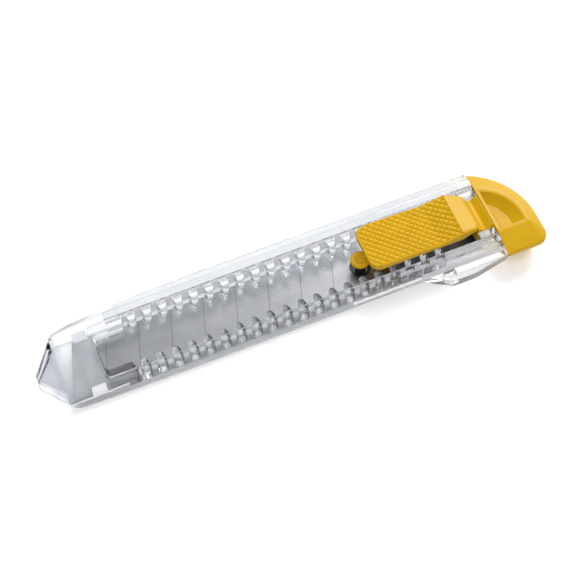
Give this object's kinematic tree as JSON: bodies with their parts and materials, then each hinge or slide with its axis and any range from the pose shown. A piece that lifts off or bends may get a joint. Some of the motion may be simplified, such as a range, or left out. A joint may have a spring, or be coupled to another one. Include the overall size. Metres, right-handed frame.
{
  "type": "utility knife",
  "caption": "Slim snap-off utility knife with a clear moulded housing, a segmented steel blade on a toothed slide, a knurled thumb pad, a hanging loop and a push-in end cap.",
  "frame": {"origin": "on the housing's flat back face, at mid length of the whole knife and on the blade channel's centre line", "axes": "+X from the nose to the end cap, +Z out of the front face on the thumb pad's side, the blade's cutting edge towards -Y"},
  "size_m": [0.1526, 0.0331, 0.0134],
  "materials": {
    "clear_plastic": "clear moulded polystyrene, glossy, with moulded edges that catch the light",
    "blade_steel": "ground carbon steel, satin, with a brighter cutting bevel",
    "carrier_steel": "dark blued spring steel",
    "yellow_plastic": "warm yellow moulded plastic, satin"
  },
  "bodies": {
    "housing": {"housing": "clear_plastic"},
    "slider": {"blade": "blade_steel", "blade_carrier": "carrier_steel", "blade_peg": "yellow_plastic", "thumb_pad": "yellow_plastic"},
    "end_cap": {"end_cap": "yellow_plastic"}
  },
  "joints": [
    {"name": "slider_slide", "type": "slide", "parent": "housing", "child": "slider", "axis": [-1, 0, 0], "range_m": [0, 0.0765]},
    {"name": "cap_pull", "type": "slide", "parent": "housing", "child": "end_cap", "axis": [1, 0, 0], "range_m": [0, 0.012]}
  ]
}
